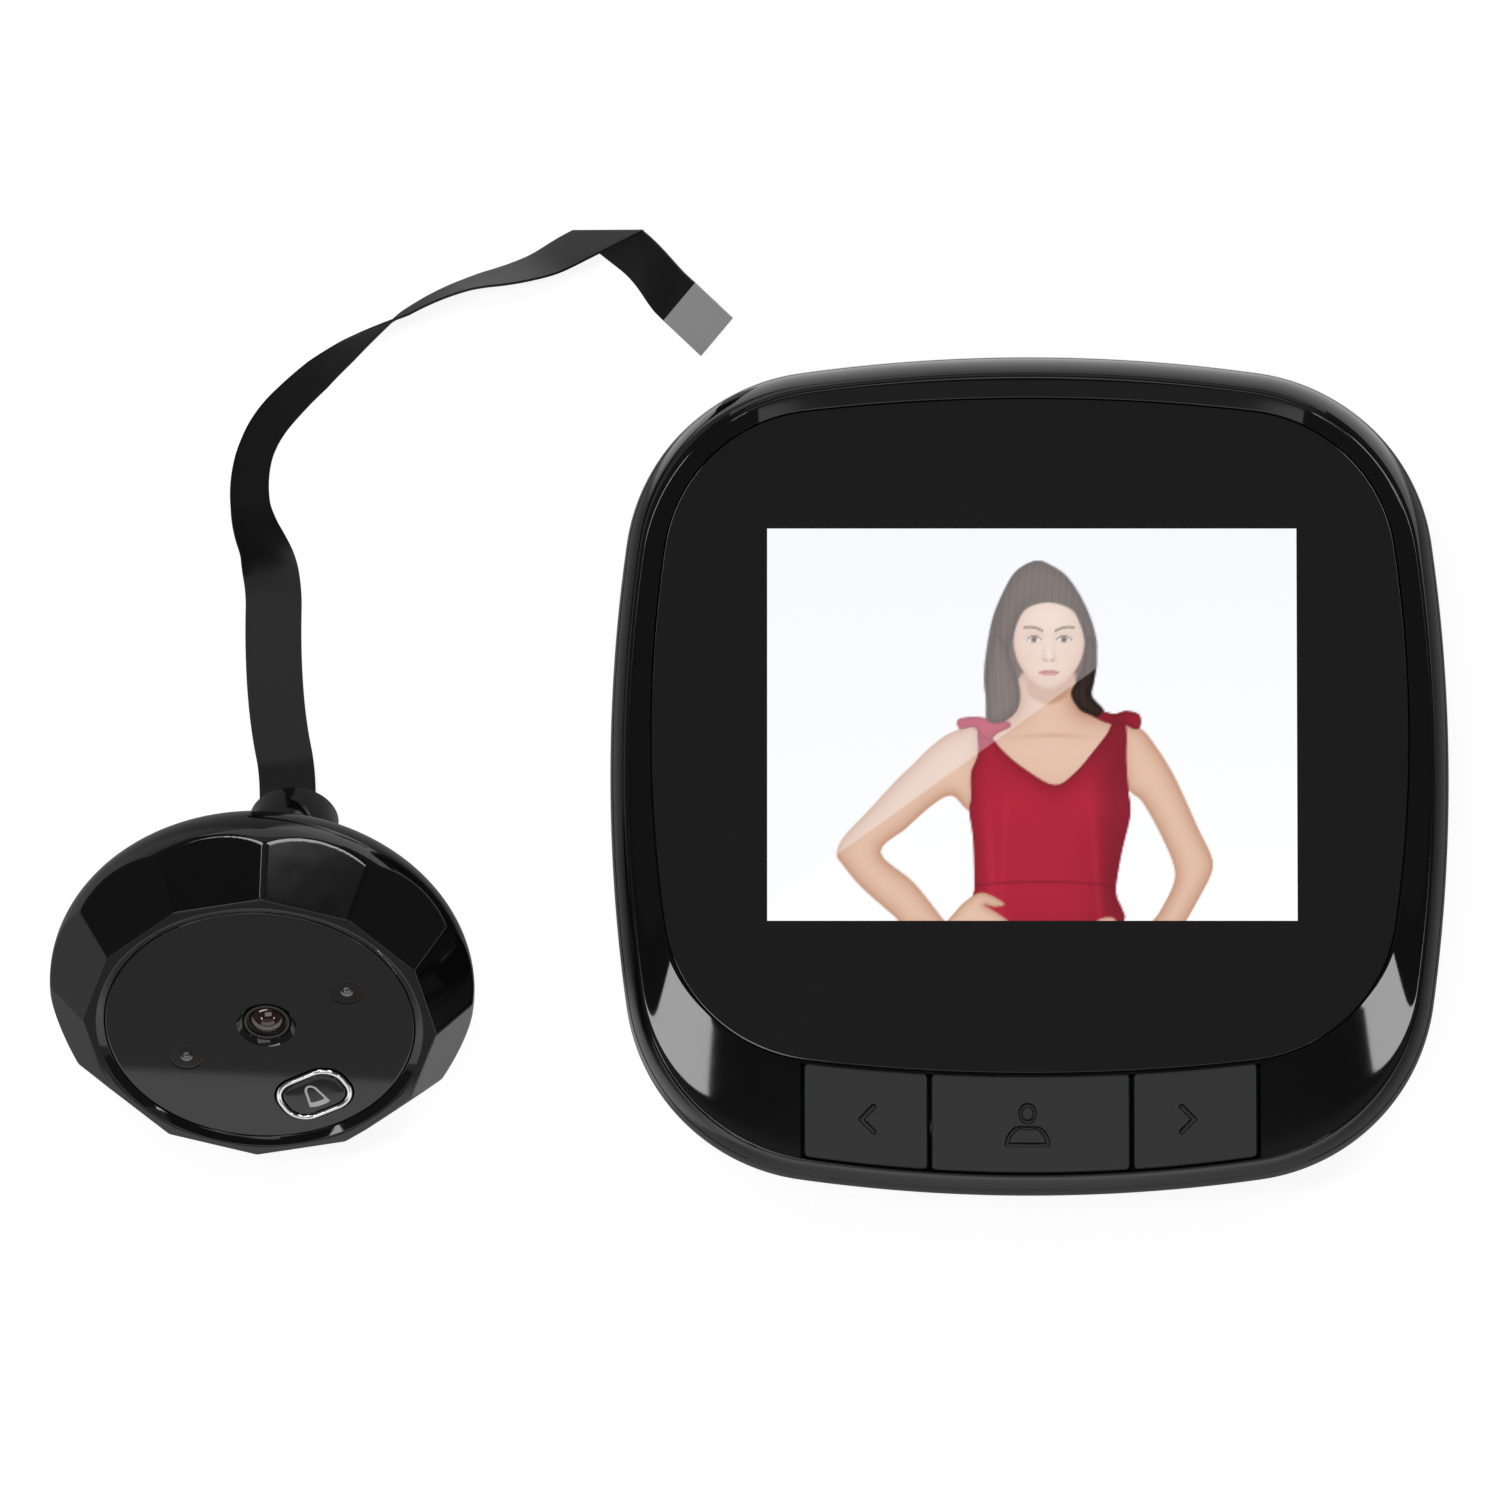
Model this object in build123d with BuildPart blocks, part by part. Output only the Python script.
from build123d import *
import os
from dataclasses import dataclass
from math import atan2, cos, pi, radians, sin, sqrt, tan

# Peephole door camera, in millimetres. The indoor unit lies on its back with its screen up and
# its flat back on the floor at the origin. The outdoor camera head lies beside it on its rim and
# on the end of its barrel, and its ribbon cable runs over the floor.

os.makedirs("parts", exist_ok=True)


@dataclass
class Outline:
    """A soft square: four shallow edge arcs joined by four tangent corner arcs."""

    half_w: float
    half_h: float
    corner_r: float
    bow: float
    centre_y: float = 0

    def grown(self, by):
        """The parallel outline that lies outside this one by the given amount."""
        return Outline(self.half_w + by, self.half_h + by, self.corner_r + by, self.bow, self.centre_y)

    def towards(self, other, share):
        """An outline part of the way from this one to another."""
        mixed = [
            getattr(self, name) + share * (getattr(other, name) - getattr(self, name))
            for name in ("half_w", "half_h", "corner_r", "bow", "centre_y")
        ]
        return Outline(*mixed)

    def arcs(self):
        """The eight arcs of the outline, anticlockwise from the middle of the right edge."""
        corner = Vector(self.half_w - self.corner_r - self.bow, self.half_h - self.corner_r - self.bow)
        reach = self.corner_r + self.bow
        side_r = (reach**2 + corner.Y**2 - self.corner_r**2) / (2 * self.bow)
        top_r = (reach**2 + corner.X**2 - self.corner_r**2) / (2 * self.bow)
        from_side = (corner - Vector(self.half_w - side_r, 0)).normalized()
        from_top = (corner - Vector(0, self.half_h - top_r)).normalized()
        low = corner + from_side * self.corner_r
        mid = corner + (from_side + from_top).normalized() * self.corner_r
        high = corner + from_top * self.corner_r

        def at(point, x_sign, y_sign):
            return (point.X * x_sign, point.Y * y_sign + self.centre_y)

        side = Vector(self.half_w, 0)
        top = Vector(0, self.half_h)
        spans = [
            (at(low, 1, -1), at(side, 1, 1), at(low, 1, 1)),
            (at(low, 1, 1), at(mid, 1, 1), at(high, 1, 1)),
            (at(high, 1, 1), at(top, 1, 1), at(high, -1, 1)),
            (at(high, -1, 1), at(mid, -1, 1), at(low, -1, 1)),
            (at(low, -1, 1), at(side, -1, 1), at(low, -1, -1)),
            (at(low, -1, -1), at(mid, -1, -1), at(high, -1, -1)),
            (at(high, -1, -1), at(top, 1, -1), at(high, 1, -1)),
            (at(high, 1, -1), at(mid, 1, -1), at(low, 1, -1)),
        ]
        return [Edge.make_three_point_arc(*span) for span in spans]


def finish(part, name):
    """Labels one finished sub-part and writes it to its own file."""
    part.label = name
    export_step(part, f"parts/{name}.step")


# Indoor unit: case outlines and heights
case_half_width = 48.3
case_half_height = 48.85
case_corner_radius = 23.4
case_edge_bow = 1.65
crest_above_parting = 7.5
front_skirt = 1.1
back_draw_in = 3.5
back_edge_radius = 1.5
back_wall = 1.8
side_wall = 1.8
cut_over = 1.0

# Indoor unit: bezel, from the crest line down to the sunk screen panel
crest_side_band = 2.05
crest_top_band = 3.35
crest_bottom_band = 1.2
crest_corner_radius = 22.2
crest_edge_bow = 1.6
crest_land = 0.3
dish_depth = 1.4
bezel_side = 4.7
bezel_top = 5.7
bezel_bottom = 13.0
panel_corner_radius = 18.5
panel_edge_bow = 1.4
band_height_shares = (0, 0.6, 0.87, 1)
band_inset_shares = (0, 0.27, 0.66, 1)

# Indoor unit: screen stack
panel_thickness = 1.2
panel_sink = 0.1
panel_gap = 0.12
adhesive_thickness = 0.2
seat_thickness = 1.6
screen_width = 60.96
screen_height = 45.72
screen_offset_x = 0.25
screen_offset_y = 1.45
screen_margin = 3.2
print_overlap = 0.8
lcd_gap = 0.25
lcd_thickness = 1.4
lcd_corner_radius = 0.6
backlight_thickness = 1.7
backlight_lip = 0.6
backlight_gap = 0.15
flex_width = 22.0
flex_thickness = 0.2
flex_foot = 5.0

# Indoor unit: keys and their switches
key_reach = 26.0
call_key_half_width = 11.6
key_gap = 0.42
key_split = 0.45
key_plate_thickness = 1.0
key_plate_lap = 1.0
key_travel = 0.5
key_play = 0.25
stem_radius = 1.5
switch_side = 6.0
switch_height = 3.5
switch_row_inset = 8.55
plunger_radius = 1.6
plunger_rise = 1.0
plunger_gap = 0.06
plunger_root = 1.4
side_key_shift = 0.1
key_plate_gap = 0.35

# Indoor unit: board and what it carries
board_thickness = 1.2
board_inset = 3.7
board_bay_gap = 3.0
board_notch_gap = 0.6
board_gap = 0.12
socket_width = 11.0
socket_depth = 5.4
socket_height = 2.3
socket_x = -4.0
socket_offset_y = -1.0
socket_slot_height = 0.7
latch_depth = 1.5
latch_height = 1.4
latch_travel = 1.0
latch_lug = 0.8
latch_lug_length = 1.2
slide_fit = 0.1
power_width = 7.6
power_depth = 3.6
power_height = 2.6
power_x = 6.5
power_offset_y = 2.4
knob_width = 1.5
knob_depth = 1.4
knob_rise = 2.2
knob_travel = 2.0
speaker_radius = 10.0
speaker_depth = 4.4
speaker_inset_x = 23.8
speaker_inset_y = 19.35
speaker_magnet_radius = 5.6
speaker_magnet_depth = 1.6
speaker_ring_wall = 1.0
grille_slot_length = 9.0
grille_slot_width = 1.0
grille_pitch = 2.2
grille_slots = 5

# Indoor unit: battery bay, cells and cover
cell_radius = 5.25
cell_length = 43.7
cell_nub_radius = 1.9
cell_nub_length = 0.8
cell_gap = 0.5
cell_count = 3
cell_edge = 0.5
spring_room = 5.5
bay_inset = 10.25
bay_wall = 1.2
bay_roof = 1.0
contact_thickness = 0.4
contact_side = 8.4
spring_width = 4.6
spring_half_height = 3.6
cover_thickness = 1.6
cover_sink = 0.3
cover_gap = 0.2
cover_lap = 2.3
cover_low_lap = 0.9
cover_travel = 6.0
tab_length = 5.0
tab_reach = 0.8
tab_thickness = 0.6
tab_lift = 0.5
tab_rows = (0.2, 0.72)
ledge_thickness = 1.4
ledge_wall = 1.3
grip_ribs = 5
grip_pitch = 1.6
grip_length = 12.0
grip_width = 0.7
grip_depth = 0.5

# Indoor unit: cable well, bracket slots and fixings
well_half_width = 12.0
well_height = 15.2
well_bay_gap = 9.0
well_wall = 1.2
bracket_slot_width = 3.2
bracket_slot_length = 9.0
bracket_slot_x = 18.0
bracket_slot_offset_y = 3.5
bracket_slot_rim = 1.2
bracket_slot_roof = 1.2
bracket_slot_depth = 3.0
boss_radius = 2.7
boss_inset_x = 10.1
boss_high_inset = 18.85
boss_low_inset = 28.85
pilot_radius = 0.9
screw_radius = 1.15
screw_clearance = 0.15
screw_head_radius = 2.1
screw_head_depth = 1.5
screw_head_sink = 0.6
screw_head_gap = 0.2
screw_length = 8.5
cross_depth = 0.8
cross_width = 0.6
cross_length = 2.2
post_radius = 1.9
post_high_inset = 7.3
post_high_offset_y = 3.0
post_low_x = 9.4
post_low_offset_y = -0.3
tongue_gap = 0.15
tongue_wall = 1.0
tongue_height = 1.0
tongue_root = 2.2
front_wall = 2.2

# Levels worked out from the back upwards: the cells carry the screen stack, which sets the crest
cell_low = cover_sink + cover_thickness + cover_gap
bay_ceiling = cell_low + 2 * cell_radius + cell_gap / 2
backlight_bottom = bay_ceiling + bay_roof + backlight_gap
lcd_bottom = backlight_bottom + backlight_thickness
panel_seat = lcd_bottom + lcd_thickness
panel_bottom = panel_seat + adhesive_thickness
panel_top = panel_bottom + panel_thickness
dish_floor = panel_top + panel_sink
crest_height = dish_floor + dish_depth
parting_height = crest_height - crest_above_parting
widest_height = parting_height + front_skirt
seat_under = panel_seat - seat_thickness
key_plate_bottom = seat_under - key_plate_gap - key_plate_thickness
switch_top = key_plate_bottom - key_play - plunger_rise
board_top = switch_top - switch_height
board_height = board_top - board_thickness

# Places worked out from the case's edges: the bay from the top edge, the well from the bay, and
# the switches, the speaker and the lower bosses from the bottom edge
bay_half_length = (cell_length + cell_nub_length + 2 * contact_thickness + spring_room) / 2
bay_half_width = cell_count * (2 * cell_radius + cell_gap) / 2
bay_high_y = case_half_height - bay_inset
bay_low_y = bay_high_y - 2 * bay_half_width
bay_mid_y = bay_low_y + bay_half_width
well_high_y = bay_low_y - well_bay_gap
well_low_y = well_high_y - well_height
well_mid_y = (well_low_y + well_high_y) / 2
socket_y = well_mid_y + socket_offset_y
power_y = well_mid_y + power_offset_y
bracket_slot_y = well_mid_y + bracket_slot_offset_y
board_top_y = bay_low_y - board_bay_gap
switch_row_y = switch_row_inset - case_half_height
side_key_x = (call_key_half_width + key_reach) / 2 + side_key_shift
speaker_x = speaker_inset_x - case_half_width
speaker_y = speaker_inset_y - case_half_height

case = Outline(case_half_width, case_half_height, case_corner_radius, case_edge_bow)
crest = Outline(
    case_half_width - crest_side_band,
    case_half_height - (crest_top_band + crest_bottom_band) / 2,
    crest_corner_radius,
    crest_edge_bow,
    (crest_bottom_band - crest_top_band) / 2,
)
panel = Outline(
    case_half_width - bezel_side,
    case_half_height - (bezel_top + bezel_bottom) / 2,
    panel_corner_radius,
    panel_edge_bow,
    (bezel_bottom - bezel_top) / 2,
)
screen_centre_x = screen_offset_x
screen_centre_y = panel.centre_y + screen_offset_y
module_width = screen_width + 2 * screen_margin
module_height = screen_height + 2 * screen_margin
boss_places = [
    (side * (case_half_width - boss_inset_x), y)
    for side in (-1, 1)
    for y in (case_half_height - boss_high_inset, boss_low_inset - case_half_height)
]
post_places = [
    (side * x, y)
    for side in (-1, 1)
    for x, y in (
        (case_half_width - post_high_inset, well_mid_y + post_high_offset_y),
        (post_low_x, switch_row_y + post_low_offset_y),
    )
]

# Front housing: a glossy frame with a rounded outer band, a crest line and an inner dish that
# falls to the screen panel. The dish is wide at the bottom, where the three keys stand in it.
with BuildPart() as dish:
    with BuildSketch(Plane.XY.offset(dish_floor)):
        make_face(panel.grown(panel_gap).arcs())
    with BuildSketch(Plane.XY.offset(crest_height)):
        make_face(crest.grown(-crest_land).arcs())
    loft()

key_rim = crest.grown(-crest_land - slide_fit)
with BuildPart() as front_housing:
    with BuildSketch(Plane.XY.offset(parting_height)):
        make_face(case.arcs())
    extrude(amount=widest_height - parting_height)
    for height_share, inset_share in zip(band_height_shares, band_inset_shares):
        band_level = widest_height + height_share * (crest_height - widest_height)
        with BuildSketch(Plane.XY.offset(band_level)):
            make_face(case.towards(crest, inset_share).arcs())
    loft()
    add(dish.part, mode=Mode.SUBTRACT)
    with BuildSketch(Plane.XY.offset(panel_seat)):
        make_face(panel.grown(panel_gap).arcs())
    extrude(amount=dish_floor - panel_seat, mode=Mode.SUBTRACT)
    with BuildSketch(Plane.XY.offset(parting_height)):
        make_face(case.grown(-front_wall).arcs())
    extrude(amount=seat_under - parting_height, mode=Mode.SUBTRACT)
    with BuildSketch(Plane.XY.offset(seat_under)):
        with Locations((screen_centre_x, screen_centre_y)):
            Rectangle(module_width + 2 * lcd_gap, module_height + 2 * lcd_gap)
    extrude(amount=seat_thickness, mode=Mode.SUBTRACT)
    with BuildSketch(Plane.XY.offset(seat_under)):
        make_face(key_rim.arcs())
        make_face(panel.grown(panel_gap).arcs(), mode=Mode.SUBTRACT)
        with Locations((0, -case_half_height)):
            Rectangle(2 * (key_reach + key_gap), 2 * bezel_bottom, mode=Mode.INTERSECT)
    extrude(amount=crest_height - seat_under, mode=Mode.SUBTRACT)
    with BuildSketch(Plane.XY.offset(parting_height)):
        with Locations(*boss_places):
            Circle(boss_radius)
            Circle(pilot_radius, mode=Mode.SUBTRACT)
    extrude(amount=seat_under - parting_height)
finish(front_housing.part, "front_housing")

# Screen panel: black-backed clear acrylic, glued into the frame's recess over the screen
with BuildPart() as screen_panel:
    with BuildSketch(Plane.XY.offset(panel_bottom)):
        make_face(panel.arcs())
    extrude(amount=panel_thickness)
finish(screen_panel.part, "screen_panel")

with BuildPart() as panel_adhesive:
    with BuildSketch(Plane.XY.offset(panel_seat)):
        make_face(panel.grown(-panel_gap).arcs())
        with Locations((screen_centre_x, screen_centre_y)):
            Rectangle(
                screen_width + 2 * print_overlap, screen_height + 2 * print_overlap, mode=Mode.SUBTRACT
            )
    extrude(amount=adhesive_thickness)
finish(panel_adhesive.part, "panel_adhesive")

# Screen: the liquid crystal glass, its backlight tray and the flex that folds down to the board
with BuildPart() as lcd_panel:
    with BuildSketch(Plane.XY.offset(lcd_bottom)):
        with Locations((screen_centre_x, screen_centre_y)):
            RectangleRounded(module_width, module_height, lcd_corner_radius)
    extrude(amount=lcd_thickness)
finish(lcd_panel.part, "lcd_panel")

with BuildPart() as lcd_backlight:
    with BuildSketch(Plane.XY.offset(backlight_bottom)):
        with Locations((screen_centre_x, screen_centre_y)):
            RectangleRounded(module_width, module_height, lcd_corner_radius)
    extrude(amount=backlight_thickness)
    with BuildSketch(Plane.XY.offset(backlight_bottom)):
        with Locations((screen_centre_x, screen_centre_y)):
            Rectangle(screen_width, screen_height)
    extrude(amount=backlight_lip, mode=Mode.SUBTRACT)
finish(lcd_backlight.part, "lcd_backlight")

module_low_y = screen_centre_y - module_height / 2
flex_mid = backlight_bottom - flex_thickness / 2
flex_floor = board_top + flex_thickness / 2
with BuildPart() as lcd_flex:
    with BuildSketch(Plane.YZ.offset(screen_centre_x - flex_width / 2)):
        with BuildLine():
            Line((module_low_y + flex_foot, flex_mid), (module_low_y, flex_mid))
            ThreePointArc(
                (module_low_y, flex_mid),
                (module_low_y - (flex_mid - flex_floor) / 2, (flex_mid + flex_floor) / 2),
                (module_low_y, flex_floor),
            )
            Line((module_low_y, flex_floor), (module_low_y + flex_foot, flex_floor))
        trace(line_width=flex_thickness)
    extrude(amount=flex_width)
finish(lcd_flex.part, "lcd_flex")

# Keys: two side keys and a wide call key, cut to the dish's slope. Each has a plate that laps
# under the frame and a stem over its switch.
key_spans = {
    "left_key": (-key_reach, -call_key_half_width - key_split / 2),
    "call_key": (-call_key_half_width + key_split / 2, call_key_half_width - key_split / 2),
    "right_key": (call_key_half_width + key_split / 2, key_reach),
}
key_plungers = {"left_key": "left_plunger", "call_key": "call_plunger", "right_key": "right_plunger"}
key_rows = {"left_key": -side_key_x, "call_key": 0, "right_key": side_key_x}
switch_places = [(x, switch_row_y) for x in key_rows.values()]
key_limit = case.grown(-front_wall - key_gap)
key_ledge = seat_under + key_travel + slide_fit

for key_name, (low_x, high_x) in key_spans.items():
    key_x = key_rows[key_name]
    low_lap = key_plate_lap if key_name == "left_key" else 0
    high_lap = key_plate_lap if key_name == "right_key" else 0
    with BuildPart() as key:
        with BuildSketch(Plane.XY.offset(key_plate_bottom)):
            make_face(key_limit.arcs())
            make_face(panel.grown(key_gap - key_plate_lap).arcs(), mode=Mode.SUBTRACT)
            with Locations(((low_x - low_lap + high_x + high_lap) / 2, -case_half_height)):
                plate_width = high_x + high_lap - low_x + low_lap
                Rectangle(plate_width, 2 * (bezel_bottom + key_plate_lap), mode=Mode.INTERSECT)
        extrude(amount=key_plate_thickness)
        with BuildSketch(Plane.XY.offset(key_plate_bottom)):
            make_face(key_limit.arcs())
            make_face(panel.grown(key_gap).arcs(), mode=Mode.SUBTRACT)
            with Locations(((low_x + high_x) / 2, -case_half_height)):
                Rectangle(high_x - low_x, 2 * bezel_bottom, mode=Mode.INTERSECT)
        extrude(amount=key_ledge - key_plate_bottom)
        with BuildSketch(Plane.XY.offset(key_ledge)):
            make_face(key_rim.grown(-key_gap).arcs())
            make_face(panel.grown(key_gap).arcs(), mode=Mode.SUBTRACT)
            with Locations(((low_x + high_x) / 2, -case_half_height)):
                Rectangle(high_x - low_x, 2 * bezel_bottom, mode=Mode.INTERSECT)
        extrude(amount=crest_height - key_ledge)
        add(dish.part, mode=Mode.SUBTRACT)
        with BuildSketch(Plane.XY.offset(switch_top + plunger_rise + plunger_gap)):
            with Locations((key_x, switch_row_y)):
                Circle(stem_radius)
        extrude(amount=key_play - plunger_gap)
    finish(key.part, key_name)

    with BuildPart() as plunger:
        with BuildSketch(Plane.XY.offset(switch_top - plunger_root)):
            with Locations((key_x, switch_row_y)):
                Circle(plunger_radius)
        extrude(amount=plunger_root + plunger_rise)
    finish(plunger.part, key_plungers[key_name])

with BuildPart() as key_switches:
    with BuildSketch(Plane.XY.offset(board_top)):
        with Locations(*switch_places):
            Rectangle(switch_side, switch_side)
    extrude(amount=switch_height)
    fillet(key_switches.edges().filter_by(Axis.Z), radius=switch_side / 10)
    with BuildSketch(Plane.XY.offset(switch_top)):
        with Locations(*switch_places):
            Circle(plunger_radius + slide_fit / 2)
    extrude(amount=-(plunger_root + key_travel + slide_fit), mode=Mode.SUBTRACT)
finish(key_switches.part, "key_switches")

# Main board: one sheet across the lower half of the case, notched round the screw bosses
with BuildPart() as main_board:
    with BuildSketch(Plane.XY.offset(board_height)):
        make_face(case.grown(-board_inset).arcs())
        with Locations((0, board_top_y - case_half_height)):
            Rectangle(2 * case_half_width, 2 * case_half_height, mode=Mode.INTERSECT)
        with Locations(*boss_places):
            Circle(boss_radius + board_notch_gap, mode=Mode.SUBTRACT)
        with Locations(*post_places):
            Circle(screw_radius, mode=Mode.SUBTRACT)
    extrude(amount=board_thickness)
finish(main_board.part, "main_board")

# Rear housing: a drafted tub with the battery bay, the cable well, the bracket slots, the
# speaker ring and grille, and the bosses for the board and the four case screws
back_outline = case.grown(-back_draw_in)
rear_top_outline = case.grown(-tongue_gap)
cover_half_width = bay_half_length + cover_lap
cover_low_y = bay_low_y - cover_low_lap
ledge_bottom = cover_sink + cover_thickness + cover_gap / 2
ledge_top = ledge_bottom + ledge_thickness
ledge_side = cover_half_width + cover_gap + tab_reach + ledge_wall
ledge_low_y = cover_low_y - cover_gap - ledge_wall

with BuildPart() as rear_outer:
    with BuildSketch(Plane.XY):
        make_face(back_outline.arcs())
    with BuildSketch(Plane.XY.offset(parting_height)):
        make_face(rear_top_outline.arcs())
    loft()
    fillet(rear_outer.faces().sort_by(Axis.Z)[0].edges(), radius=back_edge_radius)

with BuildPart() as rear_inner:
    with BuildSketch(Plane.XY.offset(back_wall)):
        make_face(back_outline.grown(-side_wall).arcs())
    with BuildSketch(Plane.XY.offset(parting_height)):
        make_face(rear_top_outline.grown(-side_wall).arcs())
    loft()

with BuildPart() as bay_block:
    with BuildSketch(Plane.XY):
        with Locations((0, (ledge_low_y + case_half_height) / 2)):
            Rectangle(2 * ledge_side, case_half_height - ledge_low_y)
    extrude(amount=ledge_top)
    with BuildSketch(Plane.XY):
        with Locations((0, (bay_low_y - bay_wall + bay_high_y + bay_wall) / 2)):
            Rectangle(2 * (bay_half_length + bay_wall), bay_high_y - bay_low_y + 2 * bay_wall)
    extrude(amount=parting_height)
    add(rear_outer.part, mode=Mode.INTERSECT)
    with BuildSketch(Plane.XY.offset(parting_height)):
        with Locations((0, bay_mid_y)):
            Rectangle(2 * (bay_half_length + bay_wall), 2 * (bay_half_width + bay_wall))
    extrude(amount=bay_ceiling + bay_roof - parting_height)

tab_places = [
    (side * (cover_half_width - tab_reach / 2), bay_low_y + row * (bay_high_y - bay_low_y) + tab_length / 2)
    for side in (-1, 1)
    for row in tab_rows
]
grille_places = [
    (speaker_x, speaker_y + (row - (grille_slots - 1) / 2) * grille_pitch) for row in range(grille_slots)
]
bracket_places = [(side * bracket_slot_x, bracket_slot_y) for side in (-1, 1)]

with BuildPart() as rear_housing:
    add(rear_outer.part)
    add(rear_inner.part, mode=Mode.SUBTRACT)
    with BuildSketch(Plane.XY.offset(parting_height - tongue_root)):
        make_face(case.grown(-front_wall - tongue_gap).arcs())
        make_face(case.grown(-front_wall - tongue_gap - tongue_wall).arcs(), mode=Mode.SUBTRACT)
    extrude(amount=tongue_root + tongue_height)
    add(bay_block.part)
    with BuildSketch(Plane.XY.offset(back_wall / 2)):
        with Locations((0, (well_low_y + well_high_y) / 2)):
            Rectangle(2 * (well_half_width + well_wall), well_high_y - well_low_y + 2 * well_wall)
    extrude(amount=board_height - board_gap - back_wall / 2)
    with BuildSketch(Plane.XY.offset(back_wall / 2)):
        with Locations((speaker_x, speaker_y)):
            Circle(speaker_radius + slide_fit + speaker_ring_wall)
            Circle(speaker_radius + slide_fit, mode=Mode.SUBTRACT)
    extrude(amount=speaker_depth)
    with BuildSketch(Plane.XY.offset(back_wall / 2)):
        with Locations(*boss_places):
            Circle(boss_radius)
    extrude(amount=parting_height - back_wall / 2)
    with BuildSketch(Plane.XY.offset(back_wall / 2)):
        with Locations(*post_places):
            Circle(post_radius)
            Circle(pilot_radius, mode=Mode.SUBTRACT)
    extrude(amount=board_height - back_wall / 2)
    with BuildSketch(Plane.XY.offset(back_wall / 2)):
        with Locations(*bracket_places):
            SlotOverall(
                bracket_slot_length + 2 * bracket_slot_rim,
                bracket_slot_width + 2 * bracket_slot_rim,
                rotation=90,
            )
    extrude(amount=bracket_slot_depth + bracket_slot_roof - back_wall / 2)
    with BuildSketch(Plane.XY):
        with Locations(*bracket_places):
            SlotOverall(bracket_slot_length, bracket_slot_width, rotation=90)
    extrude(amount=bracket_slot_depth, mode=Mode.SUBTRACT)
    with BuildSketch(Plane.XY):
        with Locations(*grille_places):
            SlotOverall(grille_slot_length, grille_slot_width)
    extrude(amount=back_wall, mode=Mode.SUBTRACT)
    with BuildSketch(Plane.XY):
        with Locations((0, (well_low_y + well_high_y) / 2)):
            Rectangle(2 * well_half_width, well_high_y - well_low_y)
    extrude(amount=board_height, mode=Mode.SUBTRACT)
    with BuildSketch(Plane.XY):
        with Locations((0, bay_mid_y)):
            Rectangle(2 * bay_half_length, 2 * bay_half_width)
    extrude(amount=bay_ceiling, mode=Mode.SUBTRACT)
    with BuildSketch(Plane.XY):
        with Locations((0, (cover_low_y - cover_gap + case_half_height) / 2)):
            Rectangle(2 * (cover_half_width + cover_gap), case_half_height - cover_low_y + cover_gap)
    extrude(amount=ledge_bottom, mode=Mode.SUBTRACT)
    with BuildSketch(Plane.XY.offset(cover_sink + tab_lift - cover_gap)):
        with Locations((0, (bay_low_y + case_half_height) / 2)):
            Rectangle(2 * (cover_half_width + cover_gap + tab_reach), case_half_height - bay_low_y)
    extrude(amount=tab_thickness + 2 * cover_gap, mode=Mode.SUBTRACT)
    with BuildSketch(Plane.XY):
        with Locations(*[(x + (1 if x > 0 else -1) * tab_reach, y + cover_travel) for x, y in tab_places]):
            Rectangle(2 * (tab_reach + cover_gap), tab_length + 2 * cover_gap)
    extrude(amount=cover_sink + tab_lift + tab_thickness + cover_gap, mode=Mode.SUBTRACT)
    with BuildSketch(Plane.XY):
        with Locations(*boss_places):
            Circle(screw_head_radius + screw_head_gap)
    extrude(amount=screw_head_sink + screw_head_depth, mode=Mode.SUBTRACT)
    with BuildSketch(Plane.XY):
        with Locations(*boss_places):
            Circle(screw_radius + screw_clearance)
    extrude(amount=parting_height, mode=Mode.SUBTRACT)
finish(rear_housing.part, "rear_housing")

# Battery cover: slides towards the top edge, then its four tabs leave their grooves
with BuildPart() as battery_cover:
    with BuildSketch(Plane.XY.offset(cover_sink)):
        with Locations((0, (cover_low_y + case_half_height) / 2)):
            Rectangle(2 * cover_half_width, case_half_height - cover_low_y)
    extrude(amount=cover_thickness)
    with BuildSketch(Plane.XY.offset(cover_sink + tab_lift)):
        with Locations(*[(x + (1 if x > 0 else -1) * tab_reach, y) for x, y in tab_places]):
            Rectangle(tab_reach, tab_length)
    extrude(amount=tab_thickness)
    add(rear_outer.part, mode=Mode.INTERSECT)
    with BuildSketch(Plane.XY.offset(cover_sink)):
        with Locations((0, bay_high_y - grip_ribs * grip_pitch)):
            with GridLocations(0, grip_pitch, 1, grip_ribs):
                SlotOverall(grip_length, grip_width)
    extrude(amount=grip_depth, mode=Mode.SUBTRACT)
finish(battery_cover.part, "battery_cover")

# Three AAA cells lie side by side, each the other way round from its neighbour
cell_level = cell_low + cell_radius
cell_directions = [1 if row % 2 == 0 else -1 for row in range(cell_count)]
cell_rows = [bay_low_y + (row + 1 / 2) * (2 * cell_radius + cell_gap) for row in range(cell_count)]
nub_tip = bay_half_length - contact_thickness
spring_reach = 2 * nub_tip - cell_nub_length - cell_length - slide_fit
with BuildPart() as batteries:
    for row_y, way in zip(cell_rows, cell_directions):
        body_start = way * (nub_tip - cell_nub_length)
        with BuildSketch(Plane.YZ.offset(body_start)):
            with Locations((row_y, cell_level)):
                Circle(cell_radius)
        extrude(amount=-way * cell_length)
        with BuildSketch(Plane.YZ.offset(body_start)):
            with Locations((row_y, cell_level)):
                Circle(cell_nub_radius)
        extrude(amount=way * cell_nub_length)
    chamfer(batteries.edges().filter_by(GeomType.CIRCLE).group_by(SortBy.RADIUS)[-1], length=cell_edge)
finish(batteries.part, "batteries")

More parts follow.
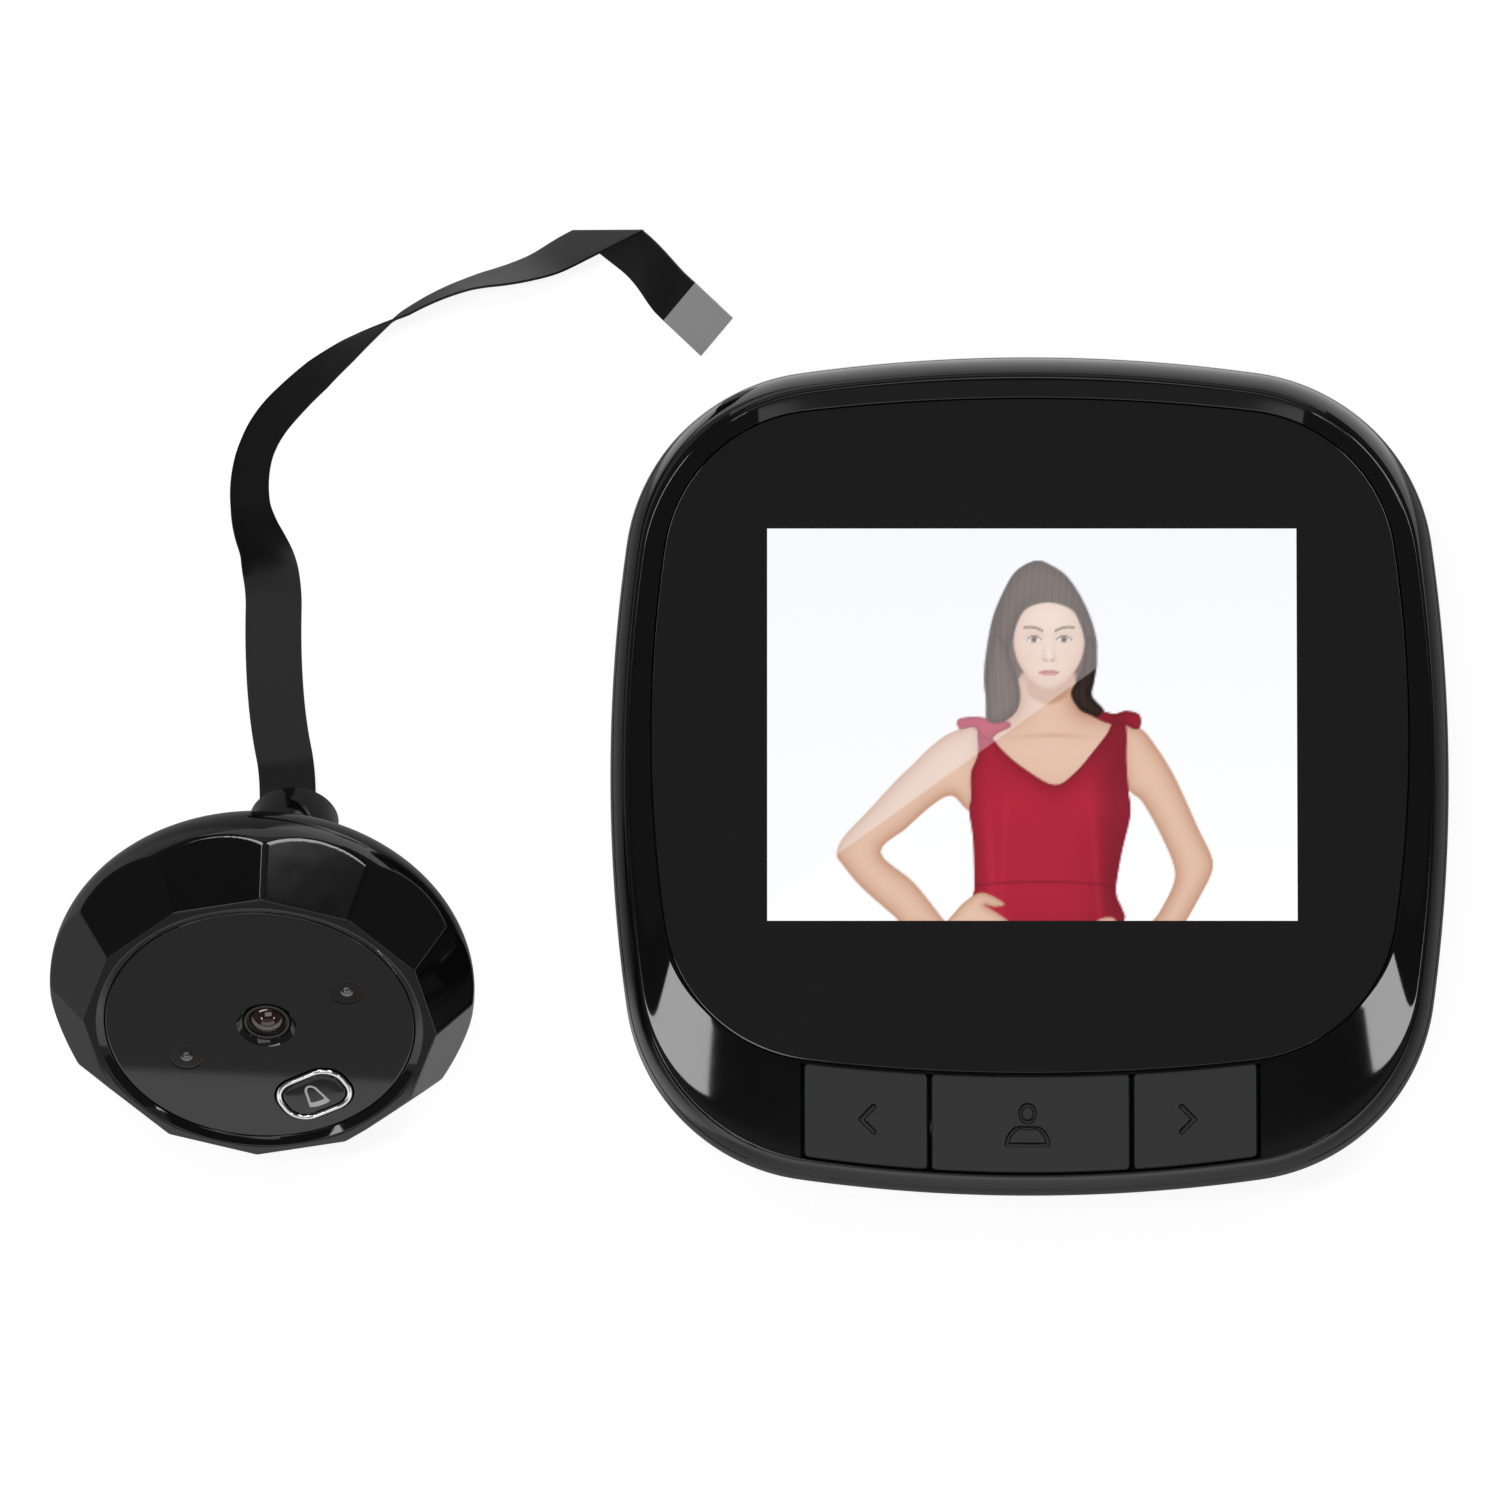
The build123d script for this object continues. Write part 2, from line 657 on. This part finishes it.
with BuildPart() as battery_plates:
    for row_y, way in zip(cell_rows, cell_directions):
        with BuildSketch(Plane.YZ.offset(way * nub_tip)):
            with Locations((row_y, cell_level)):
                Rectangle(contact_side, contact_side)
        extrude(amount=way * contact_thickness)
finish(battery_plates.part, "battery_plates")

with BuildPart() as battery_springs:
    for row_y, way in zip(cell_rows, cell_directions):
        with BuildSketch(Plane.YZ.offset(-way * nub_tip)):
            with Locations((row_y, cell_level)):
                Rectangle(contact_side, contact_side)
        extrude(amount=-way * contact_thickness)
        leaf_plane = Plane(origin=(-way * nub_tip, row_y - spring_width / 2, cell_level), x_dir=(way, 0, 0),
                           z_dir=(0, 1, 0))
        with BuildSketch(leaf_plane):
            Ellipse(spring_reach, spring_half_height)
            Ellipse(
                spring_reach - contact_thickness, spring_half_height - contact_thickness, mode=Mode.SUBTRACT
            )
            with Locations((spring_reach, 0)):
                Rectangle(2 * spring_reach, 2 * spring_half_height, mode=Mode.INTERSECT)
        extrude(amount=spring_width)
finish(battery_springs.part, "battery_springs")

# Ribbon socket on the back of the board, with its sliding latch
socket_bottom = board_height - socket_height
socket_mouth_y = socket_y + socket_depth / 2
with BuildPart() as ribbon_socket:
    with BuildSketch(Plane.XY.offset(socket_bottom)):
        with Locations((socket_x, socket_y)):
            Rectangle(socket_width, socket_depth)
    extrude(amount=socket_height)
    with BuildSketch(Plane.XZ.offset(-socket_mouth_y)):
        with Locations((socket_x, socket_bottom + socket_height / 2)):
            Rectangle(socket_width - 2 * latch_lug, latch_height + 2 * slide_fit)
    extrude(amount=latch_depth + latch_travel, mode=Mode.SUBTRACT)
finish(ribbon_socket.part, "ribbon_socket")

with BuildPart() as socket_latch:
    with BuildSketch(Plane.XZ.offset(-socket_mouth_y)):
        with Locations((socket_x, socket_bottom + socket_height / 2)):
            Rectangle(socket_width - 2 * latch_lug - 2 * slide_fit, latch_height)
            Rectangle(
                socket_width - 4 * latch_lug - 2 * slide_fit, socket_slot_height, mode=Mode.SUBTRACT
            )
    extrude(amount=latch_depth)
    with BuildSketch(Plane.XZ.offset(-socket_mouth_y)):
        with Locations((socket_x, socket_bottom + socket_height / 2)):
            Rectangle(socket_width + 2 * latch_lug, latch_height)
            Rectangle(
                socket_width - 4 * latch_lug - 2 * slide_fit, socket_slot_height, mode=Mode.SUBTRACT
            )
    extrude(amount=-latch_lug_length)
finish(socket_latch.part, "socket_latch")

# Power switch beside the socket; its knob slides in the slot of its metal case
power_bottom = board_height - power_height
with BuildPart() as power_switch:
    with BuildSketch(Plane.XY.offset(power_bottom)):
        with Locations((power_x, power_y)):
            Rectangle(power_width, power_depth)
            Rectangle(
                knob_width + knob_travel + 2 * slide_fit, knob_depth + 2 * slide_fit, mode=Mode.SUBTRACT
            )
    extrude(amount=power_height / 2)
    with BuildSketch(Plane.XY.offset(power_bottom + power_height / 2)):
        with Locations((power_x, power_y)):
            Rectangle(power_width, power_depth)
    extrude(amount=power_height / 2)
finish(power_switch.part, "power_switch")

with BuildPart() as power_knob:
    with BuildSketch(Plane.XY.offset(power_bottom - knob_rise)):
        with Locations((power_x - knob_travel / 2, power_y)):
            Rectangle(knob_width, knob_depth)
    extrude(amount=knob_rise + power_height / 2 - slide_fit)
    chamfer(power_knob.faces().sort_by(Axis.Z)[0].edges(), length=slide_fit * 2)
finish(power_knob.part, "power_knob")

# Speaker behind the grille
with BuildPart() as speaker:
    with BuildSketch(Plane.XY.offset(back_wall)):
        with Locations((speaker_x, speaker_y)):
            Circle(speaker_radius)
    extrude(amount=speaker_depth - speaker_magnet_depth)
    with BuildSketch(Plane.XY.offset(back_wall)):
        with Locations((speaker_x, speaker_y)):
            Circle(speaker_radius - speaker_ring_wall)
    extrude(amount=speaker_ring_wall, mode=Mode.SUBTRACT)
    with BuildSketch(Plane.XY.offset(back_wall + speaker_depth - speaker_magnet_depth)):
        with Locations((speaker_x, speaker_y)):
            Circle(speaker_magnet_radius)
    extrude(amount=speaker_magnet_depth)
finish(speaker.part, "speaker")


def cross_head(places):
    """Cuts a cross recess into the top of each screw head at the given places of the sketch."""
    with Locations(*places):
        Rectangle(cross_length, cross_width)
        Rectangle(cross_width, cross_length)


# Case screws, driven from the back
with BuildPart() as case_screws:
    with BuildSketch(Plane.XY.offset(screw_head_sink)):
        with Locations(*boss_places):
            Circle(screw_head_radius)
    extrude(amount=screw_head_depth)
    with BuildSketch(Plane.XY.offset(screw_head_sink + screw_head_depth)):
        with Locations(*boss_places):
            Circle(pilot_radius)
    extrude(amount=parting_height - screw_head_sink - screw_head_depth + seat_thickness)
    with BuildSketch(Plane.XY.offset(screw_head_sink)):
        cross_head(boss_places)
    extrude(amount=cross_depth, mode=Mode.SUBTRACT)
finish(case_screws.part, "case_screws")

# Board screws, driven from the front into the posts
with BuildPart() as board_screws:
    with BuildSketch(Plane.XY.offset(board_top)):
        with Locations(*post_places):
            Circle(screw_head_radius)
    extrude(amount=screw_head_depth)
    with BuildSketch(Plane.XY.offset(board_top)):
        with Locations(*post_places):
            Circle(pilot_radius)
    extrude(amount=-(board_thickness + screw_length / 2))
    with BuildSketch(Plane.XY.offset(board_top + screw_head_depth)):
        cross_head(post_places)
    extrude(amount=-cross_depth, mode=Mode.SUBTRACT)
finish(board_screws.part, "board_screws")

# Camera head: a flattened ball, cut flat at the front and the back, with twelve facets between
# the round body and the front face. Its own axis points out of its front face.
head_radius = 24.4
head_half_depth = 13.8
head_front = 7.0
head_back = -10.0
head_wall = 3.0
cavity_front_share = 0.944
cavity_radius_shares = (1, 0.963, 0.855, 0.7)
cavity_level_shares = (0, 0.38, 0.74, 1)
head_web_thickness = 1.2
facet_count = 12
facet_corner_radius = 20.3
facet_spread = 4.95
face_rim_radius = 18.7
glass_radius = 17.75
glass_gap = 0.1
glass_thickness = 1.2
glass_sink = 0.5
optics_shift = 0.8
optics_roll = 32.0
head_x = -88.2
head_y = -25.7
head_heading = 2.4
barrel_radius = 5.15
barrel_bore_radius = 4.25
barrel_shift = 2.4
barrel_end = -28.0
barrel_flange_radius = 8.0
barrel_flange_thickness = 1.2


def resting_tilt():
    """Tilt of the head's axis from upright, in radians, with rim and barrel end on the floor."""
    low = 0
    high = pi / 2
    for _ in range(60):
        tilt = (low + high) / 2
        barrel_low = -barrel_end * cos(tilt) + barrel_radius * sin(tilt)
        rim_low = sqrt((head_radius * sin(tilt)) ** 2 + (head_half_depth * cos(tilt)) ** 2)
        if barrel_low > rim_low:
            low = tilt
        else:
            high = tilt
    return low


head_tilt = resting_tilt()
head_turn = radians(head_heading)
head_level = -barrel_end * cos(head_tilt) + barrel_radius * sin(head_tilt)
head_across = Vector(cos(head_turn), -sin(head_turn), 0)
head_axis = Vector(-sin(head_tilt) * sin(head_turn), -sin(head_tilt) * cos(head_turn), cos(head_tilt))
head_centre = Vector(head_x, head_y, head_level)
head_up = head_axis.cross(head_across)
head_plane = Plane(origin=head_centre, x_dir=head_across, z_dir=head_axis)
profile_plane = Plane(origin=head_centre, x_dir=head_across, z_dir=head_across.cross(head_axis))
roll = radians(optics_roll)
rolled_x = head_across * cos(roll) + head_up * sin(roll)
barrel_centre = head_centre + head_across * barrel_shift
barrel_plane = Plane(origin=barrel_centre, x_dir=head_across, z_dir=head_axis)
optics_plane = Plane(origin=head_centre + head_across * optics_shift, x_dir=rolled_x, z_dir=head_axis)
turning_axis = Axis(head_centre, head_axis)

# Levels along the head's own axis
glass_front = head_front - glass_sink
glass_back = glass_front - glass_thickness
web_front = glass_back - adhesive_thickness
web_back = web_front - head_web_thickness

# What the head holds, measured from its optical centre
lens_hole_radius = 2.85
lens_bevel = 0.55
lens_barrel_radius = 2.7
lens_barrel_length = 4.2
lens_dome_radius = 2.1
lens_dome_rise = 0.7
lens_front = 6.0
lens_holder_side = 8.0
lens_holder_height = 4.2
holder_wall = 1.0
sensor_side = 5.6
sensor_height = 0.9
led_radius = 1.5
led_flange_radius = 1.9
led_flange_height = 1.0
led_dome_radius = 1.35
led_reach = 10.75
led_gap = 0.3
button_reach = 12.0
button_shift = -0.85
ring_half_width = 4.4
ring_half_height = 4.1
ring_corner_radius = 2.9
ring_wall = 0.55
ring_rise = 0.35
button_gap = 0.1
button_rise = 0.2
button_travel = 0.4
button_flange_lap = 0.55
button_flange_thickness = 0.8
button_stem_radius = 1.3
bell_switch_length = 4.4
bell_switch_width = 3.0
bell_switch_height = 2.0
bell_plunger_radius = 0.8
bell_plunger_rise = 0.5
head_board_radius = 14.7
head_board_thickness = 1.0
head_board_front = -1.4
column_count = 3
column_radius = 2.2
column_shoulder = 0.8
column_reach = 12.3
column_phase = 90
column_gap = 0.2
back_plate_radius = 15.7
back_plate_thickness = 1.6
back_plate_gap = 0.1
pad_gap = 0.35
pad_outer_radius = 10.4
pad_thickness = 1.0
head_screw_head_radius = 1.7
head_screw_head_depth = 1.0
head_screw_radius = 0.8
head_screw_length = 6.0
connector_width = 9.0
connector_depth = 3.2
connector_height = 2.0
ribbon_width = 6.5
ribbon_thickness = 0.3
ribbon_lift = 0.05
ribbon_shift = -0.85

facet_inner = facet_corner_radius * cos(pi / facet_count)
column_turns = [column_phase + 360 * step / column_count for step in range(column_count)]
column_places = [
    (column_reach * cos(radians(turn)), column_reach * sin(radians(turn))) for turn in column_turns
]
plate_front = head_back + back_plate_thickness
ribbon_plane = Plane(
    origin=barrel_centre + head_across * ribbon_shift, x_dir=head_across, z_dir=head_axis
)
cavity_radius = head_radius - head_wall
cavity_profile = [(0, web_back), (cavity_radius * cavity_front_share, web_back)]
for radius_share, level_share in zip(cavity_radius_shares, cavity_level_shares):
    cavity_profile.append((cavity_radius * radius_share, plate_front * level_share))
cavity_profile.append((0, plate_front))

with BuildPart() as facet_cutter:
    with BuildSketch(head_plane):
        Circle(head_radius + facet_spread)
    extrude(amount=head_front + cut_over)
    with BuildSketch(head_plane):
        RegularPolygon(facet_inner + facet_spread, facet_count, major_radius=False)
    with BuildSketch(head_plane.offset(head_front)):
        RegularPolygon(facet_inner, facet_count, major_radius=False)
    loft(mode=Mode.SUBTRACT)

with BuildPart() as head_shell:
    with BuildSketch(profile_plane):
        Ellipse(head_radius, head_half_depth)
        with Locations((head_radius / 2, (head_front + head_back) / 2)):
            Rectangle(head_radius, head_front - head_back, mode=Mode.INTERSECT)
    revolve(axis=turning_axis)
    add(facet_cutter.part, mode=Mode.SUBTRACT)
    with BuildSketch(profile_plane):
        with BuildLine():
            Polyline(*cavity_profile, close=True)
        make_face()
    revolve(axis=turning_axis, mode=Mode.SUBTRACT)
    with BuildSketch(head_plane.offset(head_back)):
        Circle(back_plate_radius + back_plate_gap)
    extrude(amount=back_plate_thickness, mode=Mode.SUBTRACT)
    with BuildSketch(head_plane.offset(web_front)):
        Circle(glass_radius + glass_gap)
    extrude(amount=head_front - web_front, mode=Mode.SUBTRACT)
    with BuildSketch(head_plane.offset(glass_front)):
        Circle(glass_radius + glass_gap)
    with BuildSketch(head_plane.offset(head_front)):
        Circle(face_rim_radius)
    loft(mode=Mode.SUBTRACT)
    with BuildSketch(optics_plane.offset(web_back)):
        Circle(lens_barrel_radius + led_gap)
        with Locations((-led_reach, 0), (led_reach, 0)):
            Circle(led_radius + led_gap)
        with Locations((button_shift, -button_reach)):
            RectangleRounded(
                2 * (ring_half_width + button_gap + led_gap),
                2 * (ring_half_height + button_gap + led_gap),
                ring_corner_radius,
            )
    extrude(amount=head_web_thickness, mode=Mode.SUBTRACT)
    with BuildSketch(optics_plane.offset(head_board_front)):
        with Locations(*column_places):
            Circle(column_radius + column_shoulder)
    extrude(amount=web_back - head_board_front)
    with BuildSketch(optics_plane.offset(plate_front)):
        with Locations(*column_places):
            Circle(column_radius)
    extrude(amount=head_board_front - plate_front)
    with BuildSketch(optics_plane.offset(plate_front)):
        with Locations(*column_places):
            Circle(head_screw_radius)
    extrude(amount=head_screw_length, mode=Mode.SUBTRACT)
finish(head_shell.part, "head_shell")

# Front disc: black-backed glass with a bevelled lens hole and a hole for the button's ring
with BuildPart() as head_glass:
    with BuildSketch(head_plane.offset(glass_back)):
        Circle(glass_radius)
    extrude(amount=glass_thickness)
    with BuildSketch(optics_plane.offset(glass_back)):
        Circle(lens_hole_radius)
        with Locations((button_shift, -button_reach)):
            RectangleRounded(
                2 * (ring_half_width + button_gap), 2 * (ring_half_height + button_gap), ring_corner_radius
            )
    extrude(amount=glass_thickness, mode=Mode.SUBTRACT)
    with BuildSketch(optics_plane.offset(glass_front - lens_bevel)):
        Circle(lens_hole_radius)
    with BuildSketch(optics_plane.offset(glass_front)):
        Circle(lens_hole_radius + lens_bevel)
    loft(mode=Mode.SUBTRACT)
finish(head_glass.part, "head_glass")

with BuildPart() as glass_adhesive:
    with BuildSketch(head_plane.offset(web_front)):
        Circle(glass_radius)
    extrude(amount=adhesive_thickness)
    with BuildSketch(optics_plane.offset(web_front)):
        Circle(lens_barrel_radius + led_gap)
        with Locations((-led_reach, 0), (led_reach, 0)):
            Circle(led_radius + led_gap)
        with Locations((button_shift, -button_reach)):
            RectangleRounded(
                2 * (ring_half_width + button_gap + led_gap),
                2 * (ring_half_height + button_gap + led_gap),
                ring_corner_radius,
            )
    extrude(amount=adhesive_thickness, mode=Mode.SUBTRACT)
finish(glass_adhesive.part, "glass_adhesive")

# Bell button: a cap in a plated ring, held in by its flange, with a stem over its switch
with BuildPart() as button_ring:
    with BuildSketch(optics_plane.offset(glass_back)):
        with Locations((button_shift, -button_reach)):
            RectangleRounded(2 * ring_half_width, 2 * ring_half_height, ring_corner_radius)
            RectangleRounded(
                2 * (ring_half_width - ring_wall),
                2 * (ring_half_height - ring_wall),
                ring_corner_radius - ring_wall,
                mode=Mode.SUBTRACT,
            )
    extrude(amount=glass_thickness + ring_rise)
finish(button_ring.part, "button_ring")

cap_half_width = ring_half_width - ring_wall - button_gap
cap_half_height = ring_half_height - ring_wall - button_gap
cap_corner_radius = ring_corner_radius - ring_wall
flange_front = glass_back - led_gap
flange_back = flange_front - button_flange_thickness
bell_switch_front = head_board_front + bell_switch_height
plunger_front = bell_switch_front + bell_plunger_rise
with BuildPart() as bell_button:
    with BuildSketch(optics_plane.offset(flange_back)):
        with Locations((button_shift, -button_reach)):
            RectangleRounded(
                2 * (cap_half_width + button_flange_lap),
                2 * (cap_half_height + button_flange_lap),
                cap_corner_radius,
            )
    extrude(amount=button_flange_thickness)
    with BuildSketch(optics_plane.offset(flange_front)):
        with Locations((button_shift, -button_reach)):
            RectangleRounded(2 * cap_half_width, 2 * cap_half_height, cap_corner_radius)
    extrude(amount=glass_front + button_rise - flange_front)
    with BuildSketch(optics_plane.offset(plunger_front + plunger_gap)):
        with Locations((button_shift, -button_reach)):
            Circle(button_stem_radius)
    extrude(amount=flange_back - plunger_front - plunger_gap)
finish(bell_button.part, "bell_button")

with BuildPart() as bell_switch:
    with BuildSketch(optics_plane.offset(head_board_front)):
        with Locations((button_shift, -button_reach)):
            Rectangle(bell_switch_length, bell_switch_width)
    extrude(amount=bell_switch_height)
    with BuildSketch(optics_plane.offset(bell_switch_front)):
        with Locations((button_shift, -button_reach)):
            Circle(bell_plunger_radius + slide_fit / 2)
    extrude(amount=-(bell_plunger_rise + button_travel + slide_fit), mode=Mode.SUBTRACT)
finish(bell_switch.part, "bell_switch")

with BuildPart() as bell_plunger:
    with BuildSketch(optics_plane.offset(bell_switch_front - bell_plunger_rise)):
        with Locations((button_shift, -button_reach)):
            Circle(bell_plunger_radius)
    extrude(amount=2 * bell_plunger_rise)
finish(bell_plunger.part, "bell_plunger")

# Camera: sensor, holder, threaded lens barrel and the domed wide-angle lens
with BuildPart() as lens_holder:
    with BuildSketch(optics_plane.offset(head_board_front)):
        Rectangle(lens_holder_side, lens_holder_side)
        Rectangle(
            lens_holder_side - 2 * holder_wall, lens_holder_side - 2 * holder_wall, mode=Mode.SUBTRACT
        )
    extrude(amount=2 * sensor_height)
    with BuildSketch(optics_plane.offset(head_board_front + 2 * sensor_height)):
        Rectangle(lens_holder_side, lens_holder_side)
        Circle(lens_barrel_radius + slide_fit / 2, mode=Mode.SUBTRACT)
    extrude(amount=lens_holder_height - 2 * sensor_height)
finish(lens_holder.part, "lens_holder")

with BuildPart() as lens_barrel:
    with BuildSketch(optics_plane.offset(lens_front - lens_barrel_length)):
        Circle(lens_barrel_radius)
        Circle(lens_dome_radius, mode=Mode.SUBTRACT)
    extrude(amount=lens_barrel_length)
finish(lens_barrel.part, "lens_barrel")

dome_radius = (lens_dome_radius**2 + lens_dome_rise**2) / (2 * lens_dome_rise)
lens_profile_plane = Plane(
    origin=optics_plane.origin, x_dir=optics_plane.x_dir, z_dir=optics_plane.x_dir.cross(head_axis)
)
dome_half_turn = atan2(lens_dome_radius, dome_radius - lens_dome_rise) / 2
dome_mid = (
    dome_radius * sin(dome_half_turn),
    lens_front + lens_dome_rise - dome_radius + dome_radius * cos(dome_half_turn),
)
with BuildPart() as lens_glass:
    with BuildSketch(lens_profile_plane):
        with BuildLine():
            Polyline(
                (0, lens_front + lens_dome_rise),
                (0, lens_front - lens_barrel_length / 2),
                (lens_dome_radius, lens_front - lens_barrel_length / 2),
                (lens_dome_radius, lens_front),
            )
            ThreePointArc((lens_dome_radius, lens_front), dome_mid, (0, lens_front + lens_dome_rise))
        make_face()
    revolve(axis=Axis(optics_plane.origin, head_axis))
finish(lens_glass.part, "lens_glass")

with BuildPart() as image_sensor:
    with BuildSketch(optics_plane.offset(head_board_front)):
        Rectangle(sensor_side, sensor_side)
    extrude(amount=sensor_height)
finish(image_sensor.part, "image_sensor")

# Infrared lamps: two domed 3 mm lamps standing between the board and the glass
led_front = web_front
with BuildPart() as ir_leds:
    with BuildSketch(optics_plane.offset(head_board_front)):
        with Locations((-led_reach, 0), (led_reach, 0)):
            Circle(led_flange_radius)
    extrude(amount=led_flange_height)
    with BuildSketch(optics_plane.offset(head_board_front + led_flange_height)):
        with Locations((-led_reach, 0), (led_reach, 0)):
            Circle(led_radius)
    extrude(amount=led_front - head_board_front - led_flange_height)
    fillet(ir_leds.edges().filter_by(GeomType.CIRCLE).sort_by(turning_axis)[-2:], radius=led_dome_radius)
finish(ir_leds.part, "ir_leds")

# Round board that the camera, the lamps and the switch stand on
with BuildPart() as head_board:
    with BuildSketch(head_plane.offset(head_board_front - head_board_thickness)):
        Circle(head_board_radius)
    extrude(amount=head_board_thickness)
    with BuildSketch(optics_plane.offset(head_board_front - head_board_thickness)):
        with Locations(*column_places):
            Circle(column_radius + column_gap)
    extrude(amount=head_board_thickness, mode=Mode.SUBTRACT)
finish(head_board.part, "head_board")

board_back = head_board_front - head_board_thickness
with BuildPart() as head_connector:
    with BuildSketch(ribbon_plane.offset(board_back)):
        Rectangle(connector_width, connector_depth)
    extrude(amount=-connector_height)
    with BuildSketch(ribbon_plane.offset(board_back - connector_height)):
        Rectangle(ribbon_width + 2 * slide_fit, ribbon_thickness + 2 * slide_fit)
    extrude(amount=connector_height / 2, mode=Mode.SUBTRACT)
finish(head_connector.part, "head_connector")

# Back plate with the flanged barrel that passes through the door, and the foam pad on the door
with BuildPart() as head_back_plate:
    with BuildSketch(head_plane.offset(head_back)):
        Circle(back_plate_radius)
        with Locations((barrel_shift, 0)):
            Circle(barrel_radius + slide_fit / 2, mode=Mode.SUBTRACT)
    extrude(amount=back_plate_thickness)
    with BuildSketch(optics_plane.offset(head_back)):
        with Locations(*column_places):
            Circle(head_screw_radius + column_gap)
    extrude(amount=back_plate_thickness, mode=Mode.SUBTRACT)
    with BuildSketch(optics_plane.offset(head_back)):
        with Locations(*column_places):
            Circle(head_screw_head_radius + column_gap)
    extrude(amount=head_screw_head_depth, mode=Mode.SUBTRACT)
finish(head_back_plate.part, "head_back_plate")

with BuildPart() as barrel_tube:
    with BuildSketch(barrel_plane.offset(barrel_end)):
        Circle(barrel_radius)
    extrude(amount=plate_front - barrel_end)
    with BuildSketch(barrel_plane.offset(plate_front)):
        Circle(barrel_flange_radius)
    extrude(amount=barrel_flange_thickness)
    with BuildSketch(barrel_plane.offset(barrel_end)):
        Circle(barrel_bore_radius)
    extrude(amount=plate_front + barrel_flange_thickness - barrel_end, mode=Mode.SUBTRACT)
finish(barrel_tube.part, "barrel_tube")

with BuildPart() as back_pad:
    with BuildSketch(head_plane.offset(head_back)):
        Circle(pad_outer_radius)
        Circle(barrel_shift + barrel_radius + pad_gap, mode=Mode.SUBTRACT)
    extrude(amount=-pad_thickness)
finish(back_pad.part, "back_pad")

with BuildPart() as head_screws:
    with BuildSketch(optics_plane.offset(head_back)):
        with Locations(*column_places):
            Circle(head_screw_head_radius)
    extrude(amount=head_screw_head_depth)
    with BuildSketch(optics_plane.offset(head_back + head_screw_head_depth)):
        with Locations(*column_places):
            Circle(head_screw_radius)
    extrude(amount=head_screw_length - head_screw_head_depth)
finish(head_screws.part, "head_screws")

# Ribbon cable: a flat strip from the head's connector through the barrel, down to the floor and
# along it to its stiffened tip. The free run starts at the end of the barrel.
inner_ribbon_top = board_back - connector_height / 2 - slide_fit
with BuildPart() as ribbon_inner:
    with BuildSketch(ribbon_plane.offset(barrel_end)):
        Rectangle(ribbon_width, ribbon_thickness)
    extrude(amount=inner_ribbon_top - barrel_end)
finish(ribbon_inner.part, "ribbon_inner")

ribbon_level = ribbon_lift + ribbon_thickness / 2
ribbon_exit = ribbon_plane.origin + head_axis * barrel_end
drop_length = (ribbon_exit.Z - ribbon_level) / cos(head_tilt)
ribbon_touch = ribbon_exit - head_axis * drop_length
ribbon_points = [
    (-86.2, 8.3),
    (-86.7, 17.0),
    (-87.9, 27.5),
    (-90.6, 36.5),
    (-88.6, 44.6),
    (-82.0, 51.2),
    (-73.2, 56.0),
    (-63.8, 60.6),
    (-54.6, 64.4),
    (-47.4, 63.6),
    (-40.3, 57.5),
]
route = [ribbon_exit, ribbon_touch] + [Vector(x, y, ribbon_level) for x, y in ribbon_points]
bend_radii = []
for before, corner, after in zip(route, route[1:], route[2:]):
    run_in = corner - before
    run_out = after - corner
    half_turn = radians(run_in.get_angle(run_out)) / 2
    bend_radii.append(0.45 * min(run_in.length, run_out.length) / tan(half_turn))
print("ribbon radii", [round(radius, 1) for radius in bend_radii])

with BuildPart() as ribbon_cable:
    with BuildLine():
        ribbon_path = FilletPolyline(*route, radius=bend_radii)
    with BuildSketch(Plane(origin=ribbon_exit, x_dir=head_across, z_dir=head_axis * -1)):
        Rectangle(ribbon_width, ribbon_thickness)
    sweep(path=ribbon_path)
finish(ribbon_cable.part, "ribbon_cable")
print("ribbon length", round(ribbon_path.length, 2))
ribbon_section = ribbon_width * ribbon_thickness
print("ribbon volume share", round(ribbon_cable.part.volume / ribbon_path.length / ribbon_section, 3))

tip_length = 6.0
tip_way = (route[-1] - route[-2]).normalized()
with BuildPart() as ribbon_tip:
    with BuildSketch(Plane(origin=route[-1], x_dir=Vector(0, 0, 1).cross(tip_way), z_dir=tip_way)):
        Rectangle(ribbon_width, ribbon_thickness)
    extrude(amount=tip_length)
finish(ribbon_tip.part, "ribbon_tip")
